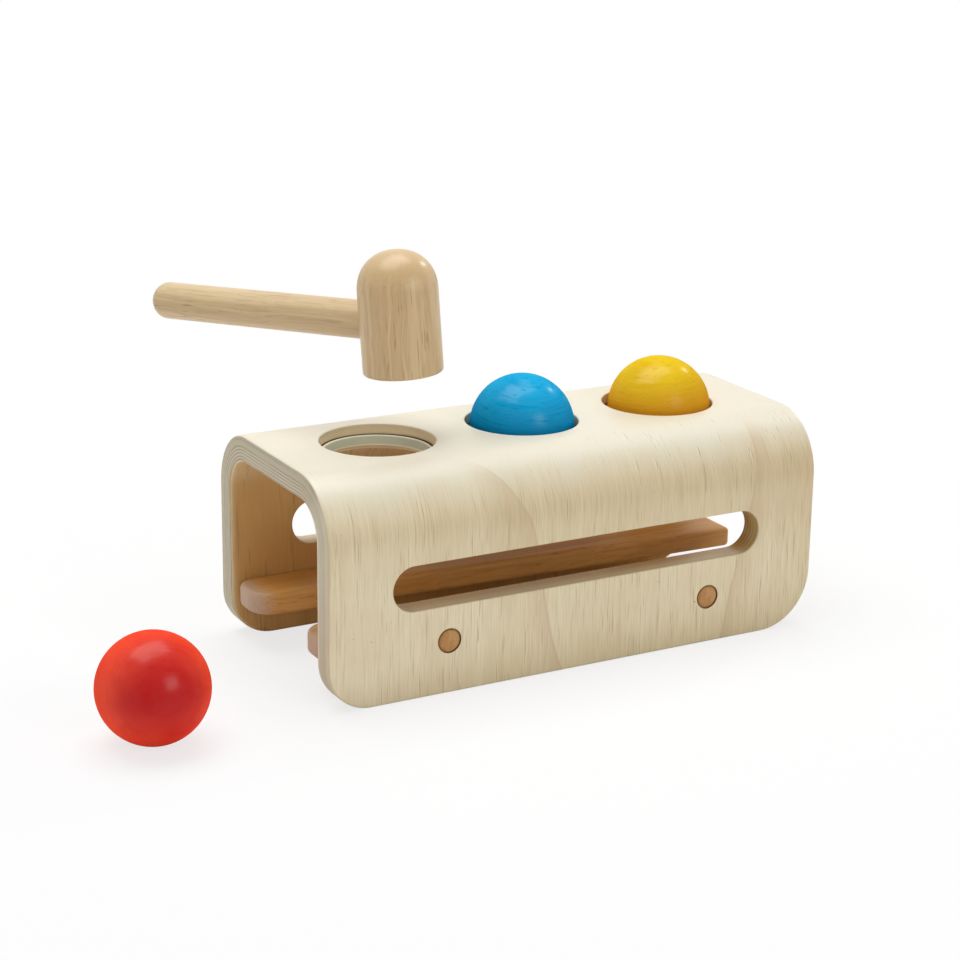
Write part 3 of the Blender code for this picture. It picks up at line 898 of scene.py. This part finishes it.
def cut_layers(finish, x, s, d):
    """The layers of the ply wherever the sheet is cut through."""
    side = abs(s)
    wobble = finish.noise(x * 55, s * 110, d * 120, 3.0) - 0.5
    layer = d / PLY + wobble * 0.05
    stops = [(position, screen(*colour)) for position, colour in PLY_LAYERS]
    plain = finish.node("ShaderNodeValToRGB", {"stops": stops}, {0: layer})
    patches = finish.noise(x * 60, s * 60, d * 260)
    plain = finish.mix(finish.steps(patches, 0.45, 0.65) * 0.6, plain, CUT_PATCH)
    end_grain = finish.noise(x * 1100, s * 1100, d * 3000)
    plain = finish.mix(finish.steps(end_grain, 0.5, 0.75) * 0.25, plain, CUT_GRAIN)
    at_end = finish.steps(abs(x), LENGTH / 2 - 0.003, LENGTH / 2 - 0.001)
    at_foot = finish.steps(side, FOOT - SLOT_LOW + 0.004, FOOT - SLOT_LOW + 0.008)
    opened = opening_layers(finish, x, side, d, layer, plain)
    ended = end_layers(finish, s, layer, plain)
    return finish.mix(finish.math("MAXIMUM", at_end, at_foot), opened, ended)


def veneered_ply():
    """Pale veneer outside, browner inside, with layers on the cut edges. Marks are sheet coordinates."""
    finish = Finish("veneered_ply", Specular_IOR_Level=0.6)
    x, s, d = finish.cut_from()
    grain = VeneerGrain(finish, x, s)
    bored = 0
    for hand, level in PEG_LEVELS.items():
        dx, ds = x - hand * PEG_X, abs(s) - (PANEL + HEIGHT - BEND - level)
        bored = bored + (dx * dx + ds * ds < (PEG_BORE_RADIUS + PEG_EASE) ** 2)
    # Painted shade: the bore round each peg and its rim on the outer face are painted dark brown for the
    # shadowed gap round the peg.
    cut = finish.mix(bored, cut_layers(finish, x, s, d), PEG_BORE_SHADE)
    colour = finish.mix(finish.steps(d, 0.0003, 0.0007), outer_veneer(finish, x, s, grain), cut)
    colour = finish.mix(finish.steps(d, 0.0, 0.0002) * bored, colour, cut)
    at_inside = finish.steps(d, PLY - 0.0007, PLY - 0.0003)
    colour = finish.mix(at_inside, colour, inner_veneer(finish, x, s, grain))
    relief = grain.streak * 0.5 + grain.fibre * 0.5 - grain.dash * 0.5
    finish.feed(
        Base_Color=colour,
        Roughness=0.4 + grain.fibre * 0.25,
        Normal=finish.bump(relief, 0.3, 0.0002),
    )
    return finish.material


def grained_wood(name, pale, mid, dark, streaks, scale, roughness, end_grain_and_shade=None):
    """Solid wood. Marks are the piece's own coordinates, with the grain along the last one.

    It may be tinted where the end grain shows, and on a peg's groove as painted shade: from one place
    along the grain to another, with a colour and its share.
    """
    finish = Finish(name, Specular_IOR_Level=0.5)
    x, y, z = finish.cut_from()
    sway = finish.noise(x * 35, y * 35, z * 22, 3.0) - 0.5
    xs, ys = x + sway * 0.006, y + sway * 0.006
    growth = finish.noise(xs * 120 * scale, ys * 70 * scale, z * 6, 2.0, 0.5, 0.5)
    lines = finish.noise(xs * 700 * scale, ys * 700 * scale, z * 18, 2.0, 0.6)
    fibre = finish.noise(xs * 1500, ys * 1500, z * 40, 2.0, 0.6)
    pores = finish.noise(x * 1300, y * 1300, z * 80, 1.0)
    broad = finish.noise(x * 40, y * 40, z * 10)
    contour = finish.steps(abs(growth - 0.5), 0.035, 0.0)
    pore = finish.steps(pores, 0.64, 0.72) * finish.steps(broad, 0.4, 0.6)
    drawn = (contour * 0.5 + finish.steps(lines, 0.48, 0.72)) * streaks + fibre * 0.2 + pore * 0.45
    colour = finish.mix(finish.steps(growth, 0.35, 0.65), pale, mid)
    if end_grain_and_shade:
        start, stop, tint, share = end_grain_and_shade
        tip = finish.steps(z, start, stop)
        drawn = drawn * (1 - tip * 0.6)
        colour = finish.mix(tip * share, colour, tint)
    colour = finish.mix(drawn, colour, dark)
    relief = lines * 0.4 + fibre * 0.3 - pore * 0.6
    finish.feed(
        Base_Color=colour,
        Roughness=roughness + fibre * 0.14,
        Normal=finish.bump(relief, 0.2, 0.0002),
    )
    return finish.material


def painted_wood(name, base, blotch, shade_and_mark_colour, shade_range, turned_marks):
    """Paint under a thin gloss, over turned wood: turning lines, pores, and painted shade along its axis.

    Marks are the ball's own coordinates, with its turning axis last. The painted shade grows along that
    axis over its range, in radii, and its colour also draws the lines and pores. The gloss is rubbed off
    away from the axis's upper end, where the ring grips the ball. turned_marks is how much of the lines
    and pores shows through.
    """
    finish = Finish(name, Specular_IOR_Level=0.0, Coat_IOR=3.0, Coat_Roughness=0.24, Roughness=0.6)
    x, y, z = finish.cut_from()
    thick = finish.noise(x, y, z, 3.0, scale=60.0)
    turning = finish.noise(x * 45, y * 45, z * 900)
    pores = finish.noise(x * 260, y * 260, z * 1500, 1.0)
    pore = finish.steps(pores, 0.62, 0.74) * turned_marks
    line = finish.steps(turning, 0.48, 0.7) * turned_marks
    colour = finish.mix(finish.steps(thick, 0.35, 0.65), base, blotch)
    # Painted shade: the paint is darker along the axis over its range, for shade and a dark reflection.
    painted_shade = finish.steps(z / BALL_RADIUS + (thick - 0.5) * 0.25, *shade_range)
    colour = finish.mix(painted_shade, colour, shade_and_mark_colour)
    colour = finish.mix(pore * 0.5 + line * 0.2, colour, shade_and_mark_colour)
    gloss = 1 - finish.steps(z / BALL_RADIUS, 0.7, 0.1) * 0.75
    finish.feed(
        Base_Color=colour,
        Coat_Weight=(0.088 - line * 0.06 - pore * 0.05) * gloss,
        Normal=finish.bump(line * 0.3 + thick * 0.3 - pore * 0.5, 0.45, 0.0003),
    )
    return finish.material


def pale_elastic():
    """Matt elastic, with a painted highlight on the lip's top, a pale foot and painted shade behind the
    lip. Marks are the ring's own coordinates, from its axis and level.
    """
    finish = Finish("pale_elastic", Specular_IOR_Level=0.35)
    x, y, z = finish.cut_from()
    cloud = finish.noise(x, y, z, 3.0, scale=90.0)
    grain = finish.noise(x, y, z, scale=2600.0)
    colour = finish.mix(cloud, screen(208, 212, 188), screen(196, 201, 176))
    top, bottom = RING_HIGH - RING_LEVEL, RING_LOW - RING_LIP_DROP - RING_LEVEL
    # Painted highlight: the top edge is painted paler where the light from above catches it.
    colour = finish.mix(finish.steps(z, top - 0.0006, top - 0.0001), colour, screen(244, 240, 220))
    colour = finish.mix(finish.steps(z, bottom + 0.0010, bottom + 0.0005), colour, screen(252, 240, 208))
    # Painted shade: behind the lip the elastic is painted brown for the dark gap line round the ring.
    radius = finish.math("SQRT", x * x + y * y)
    recess = finish.steps(radius, RING_NECK - 0.0005, RING_NECK - 0.0002)
    colour = finish.mix(recess, colour, screen(168, 126, 62))
    finish.feed(
        Base_Color=colour,
        Roughness=0.5 + grain * 0.2,
        Normal=finish.bump(grain, 0.1, 0.0001),
    )
    return finish.material


# Floor: half its width, its paper, the least share of white in it, and where that share grows to one
FLOOR_REACH = 9.0
FLOOR_PAPER = (0.9, 0.9, 0.9, 1)
FLOOR_GLOW = 0.74
FLOOR_FADE = (0.25, 0.75)


def stage_floor():
    """A pale floor that carries the object's shadow and meets the white background."""
    mesh = bpy.data.meshes.new("floor")
    corners = np.array([(-1, -1, 0), (1, -1, 0), (1, 1, 0), (-1, 1, 0)]) * FLOOR_REACH
    mesh.from_pydata(corners.tolist(), [], [(0, 1, 2, 3)])
    floor = bpy.data.objects.new("floor", mesh)
    bpy.context.scene.collection.objects.link(floor)
    finish = Finish("floor_paper", Base_Color=FLOOR_PAPER, Roughness=1.0, Specular_IOR_Level=0.0)
    here = finish.node("ShaderNodeTexCoord", None, None, "Object")
    away = finish.node("ShaderNodeVectorMath", {"operation": "LENGTH"}, {0: here}, "Value")
    seen = finish.node("ShaderNodeLightPath", None, None, "Is Camera Ray")
    share = seen * (finish.steps(away, *FLOOR_FADE) * (1 - FLOOR_GLOW) + FLOOR_GLOW)
    glow = finish.node("ShaderNodeEmission", None, {"Strength": 1.0})
    paper = Socket(finish, finish.shader.outputs[0])
    shown = finish.node("ShaderNodeMixShader", None, {0: share, 1: paper, 2: glow})
    finish.tree.links.new(shown.link, finish.tree.nodes["Material Output"].inputs[0])
    mesh.materials.append(finish.material)


# Light: the strength of the surroundings, then each lamp's way from the object, distance, size and power
AMBIENT = 0.36
LAMPS = (
    ("overhead", (-0.04, 0.2, 1.0), 1.9, (1.9, 1.3), 29.0),
    ("front_right", (0.22, -0.88, 0.42), 1.9, (0.7, 0.7), 5.0),
    ("sparkle", (0.781, 0.244, 0.575), 1.8, (0.09, 0.09), 3.0),
)


def studio_light():
    """White surroundings, a wide lamp overhead, a soft one at the front right and a small one behind.

    The surroundings are full white where they are seen or mirrored, and weaker as a light.
    """
    world = bpy.data.worlds.new("studio")
    bpy.context.scene.world = world
    world.use_nodes = True
    tree = world.node_tree
    back = tree.nodes["Background"]
    back.inputs["Color"].default_value = (1, 1, 1, 1)
    path = tree.nodes.new("ShaderNodeLightPath")
    shown = path.outputs["Is Camera Ray"]
    for name in ("Is Glossy Ray", "Is Transmission Ray"):
        most = tree.nodes.new("ShaderNodeMath")
        most.operation = "MAXIMUM"
        tree.links.new(shown, most.inputs[0])
        tree.links.new(path.outputs[name], most.inputs[1])
        shown = most.outputs[0]
    strength = tree.nodes.new("ShaderNodeMapRange")
    strength.inputs["To Min"].default_value = AMBIENT
    strength.inputs["To Max"].default_value = 1.0
    tree.links.new(shown, strength.inputs["Value"])
    tree.links.new(strength.outputs[0], back.inputs["Strength"])
    for name, way, distance, size, watts in LAMPS:
        lamp = bpy.data.lights.new(name, "AREA")
        lamp.shape = "RECTANGLE"
        lamp.size, lamp.size_y = size
        lamp.energy = watts
        lit = bpy.data.objects.new(name, lamp)
        bpy.context.scene.collection.objects.link(lit)
        way = Vector(way).normalized()
        lit.location = way * distance
        lit.rotation_euler = way.to_track_quat("Z", "Y").to_euler()


# Camera, fitted to the photograph: its place from the bench's foot, its turn, tilt and lean, and its
# focal length in pixels of a picture this wide
CAMERA_FROM_BENCH = (-0.56227, -0.96694, 0.42517)
CAMERA_TURN = math.radians(29.1488)
CAMERA_TILT = math.radians(17.2756)
CAMERA_LEAN = math.radians(0.79)
FOCAL_PIXELS = 2352.963
PICTURE_WIDTH = 960
FILM_WIDTH = 36


def photograph_camera():
    """A camera at the photograph's own place and angle."""
    right = np.array((math.cos(CAMERA_TURN), -math.sin(CAMERA_TURN), 0))
    ahead = np.array((math.sin(CAMERA_TURN), math.cos(CAMERA_TURN), 0))
    back = -ahead * math.cos(CAMERA_TILT) + (0, 0, math.sin(CAMERA_TILT))
    up = np.cross(back, right)
    lean, straight = math.sin(CAMERA_LEAN), math.cos(CAMERA_LEAN)
    turn = np.stack([straight * right + lean * up, straight * up - lean * right, back], axis=-1)
    data = bpy.data.cameras.new("photograph")
    data.sensor_width = FILM_WIDTH
    data.lens = FILM_WIDTH * FOCAL_PIXELS / PICTURE_WIDTH
    camera = bpy.data.objects.new("photograph", data)
    bpy.context.scene.collection.objects.link(camera)
    place = np.array(CAMERA_FROM_BENCH) + (CENTRE[0], CENTRE[1], 0)
    camera.matrix_world = Matrix.Translation(place) @ Matrix(turn.tolist()).to_4x4()
    bpy.context.scene.camera = camera


def grip_frame():
    """The frame at the round end of the hammer's handle: X along the handle, Y along the swing's axis."""
    swing = next(joint for joint in frame["joints"] if joint["name"] == "hammer_swing")
    axis = np.array(swing["axis"]) / np.linalg.norm(swing["axis"])
    way = np.array(HANDLE_WAY)
    way -= axis * (way @ axis)
    way /= np.linalg.norm(way)
    turn = np.stack([way, axis, np.cross(way, axis)], axis=-1)
    return Matrix.Translation(swing["pos_m"]) @ Matrix(turn.tolist()).to_4x4()


photograph_camera()
studio_light()
stage_floor()

ply = veneered_ply()
rail_wood = grained_wood(
    "oiled_hardwood",
    pale=screen(226, 172, 96),
    mid=screen(212, 155, 80),
    dark=screen(152, 98, 36),
    streaks=0.24,
    scale=0.8,
    roughness=0.42,
    end_grain_and_shade=(RAIL_LEFTS[1] + 0.013, RAIL_LEFTS[1] + 0.001, screen(192, 164, 142), 0.9),
)
peg_wood = grained_wood(
    "oiled_peg_wood",
    pale=screen(204, 153, 92),
    mid=screen(190, 135, 76),
    dark=screen(140, 92, 44),
    streaks=0.35,
    scale=1.5,
    roughness=0.42,
    # On the pegs the tint covers the head's side and collar: painted shade for the dark ring round the
    # head.
    end_grain_and_shade=(-0.0001, -0.0005, screen(164, 114, 50), 1.0),
)
head_wood = grained_wood(
    "lacquered_head_wood",
    pale=screen(226, 197, 151),
    mid=screen(215, 183, 136),
    dark=screen(152, 116, 70),
    streaks=0.23,
    scale=1.8,
    roughness=0.24,
    end_grain_and_shade=(HEAD_HEIGHT - HEAD_RADIUS, HEAD_HEIGHT - 0.3 * HEAD_RADIUS, screen(208, 176, 126), 0.75),
)
handle_wood = grained_wood(
    "lacquered_handle_wood",
    pale=screen(224, 198, 154),
    mid=screen(214, 186, 140),
    dark=screen(148, 112, 66),
    streaks=0.24,
    scale=1.5,
    roughness=0.3,
)
elastic = pale_elastic()

finished(bent_sheet(ply), "bench", "bench_shell")
for panel, side in (("front", -1), ("back", 1)):
    finished(rail(f"ledge_{panel}", side, rail_wood), "bench", f"rail_{panel}")
    for end, hand in (("left", -1), ("right", 1)):
        dowel = peg(f"dowel_{panel}_{end}", hand, side, peg_wood)
        finished(dowel, "bench", f"peg_{panel}_{end}")

# Each ring's place along the bench, how far its ball pushes it sideways, and how far down
rings = (
    ("left", -HOLE_SPACING, 0.0, 0.0),
    ("middle", 0.0, BLUE_SHIFT, RING_SAG),
    ("right", HOLE_SPACING, YELLOW_SHIFT, RING_SAG),
)
for hole, x, squeeze, sag in rings:
    ring = grip_ring(f"grip_ring_{hole}", x, squeeze, sag, elastic)
    finished(ring, "bench", f"ring_{hole}")

# Each ball's paint, how far it sits along the bench from its solid's middle, and the turn of its axis
balls = {
    "red": (
        {
            "base": screen(255, 84, 56),
            "blotch": screen(250, 76, 51),
            # Painted reflection and shade: the red ball's dark patch, its axis turned towards the viewer.
            "shade_and_mark_colour": screen(193, 4, 7),
            "shade_range": (0.24, 1.05),
            "turned_marks": 0.4,
        },
        0.0,
        Matrix.Rotation(math.radians(-10), 4, "Z") @ Matrix.Rotation(math.radians(75), 4, "X"),
    ),
    "blue": (
        {
            "base": screen(0, 168, 218),
            "blotch": screen(0, 158, 210),
            # Painted shade: darker towards the lower side.
            "shade_and_mark_colour": screen(0, 128, 182),
            "shade_range": (0.9, 0.0),
            "turned_marks": 1.0,
        },
        BLUE_SHIFT,
        Matrix.Rotation(math.radians(8), 4, "X"),
    ),
    "yellow": (
        {
            "base": screen(232, 195, 10),
            "blotch": screen(227, 186, 8),
            # Painted shade and warm bounce light: deeper orange towards the lower side.
            "shade_and_mark_colour": screen(222, 156, 32),
            "shade_range": (0.85, 0.1),
            "turned_marks": 1.0,
        },
        YELLOW_SHIFT,
        Matrix.Rotation(math.radians(-6), 4, "Y"),
    ),
}
for colour, (coats, shift, axis_turn) in balls.items():
    paint = painted_wood(f"{colour}_paint", **coats)
    painted = ball(f"painted_ball_{colour}", f"ball_{colour}", shift, axis_turn, paint)
    finished(painted, f"{colour}_ball", f"ball_{colour}")

grip = grip_frame()
head_place = grip @ Matrix.Translation((GRIP_TO_HEAD, 0, -HANDLE_LEVEL))
finished(hammer_head("mallet_head", head_place, head_wood), "hammer", "hammer_head")
finished(hammer_handle("mallet_handle", grip, handle_wood), "hammer", "hammer_handle")

bpy.context.scene.view_settings.view_transform = "Standard"
bpy.context.view_layer.update()
